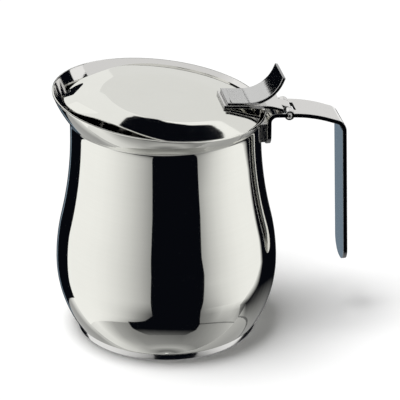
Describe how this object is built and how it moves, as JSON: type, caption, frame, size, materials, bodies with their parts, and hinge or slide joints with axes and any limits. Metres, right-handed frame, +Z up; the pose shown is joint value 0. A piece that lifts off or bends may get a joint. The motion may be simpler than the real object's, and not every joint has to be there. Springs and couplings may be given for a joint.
{
  "type": "hot milk jug with hinged lid",
  "caption": "Bellied polished steel jug with a slanted flared lip, a tapered lid hinged on an open strip handle, and a curled thumb lever.",
  "frame": {"origin": "centre of the foot's underside, on the pot's axis", "axes": "+Z up along the pot's axis, +X towards the handle, -X towards the spout; the jug is the same on both sides of the XZ plane"},
  "size_m": [0.1386, 0.104, 0.1249],
  "materials": {
    "polished_steel": "mirror polished stainless",
    "core_aluminium": "plain, sealed in",
    "foot_steel": "polished rim, turned underside",
    "lid_steel": "mirror polished stainless",
    "strip_steel": "polished strip",
    "satin_steel": "fine lengthwise satin",
    "pin_steel": "drawn wire",
    "saddle_steel": "plain pressed steel",
    "handle_steel": "polished strip"
  },
  "bodies": {
    "jug": {"body": "polished_steel", "base_core": "core_aluminium", "base_cap": "foot_steel", "hinge_pin": "pin_steel", "neck_saddle": "saddle_steel", "handle": "handle_steel"},
    "lid_assembly": {"lid": "lid_steel", "lid_strap": "strip_steel", "thumb_lever": "satin_steel"}
  },
  "joints": [
    {"name": "lid_hinge", "type": "hinge", "parent": "jug", "child": "lid_assembly", "pos_m": [0.057, 0, 0.10546], "axis": [0, 1, 0], "range_deg": [0, 103]}
  ]
}
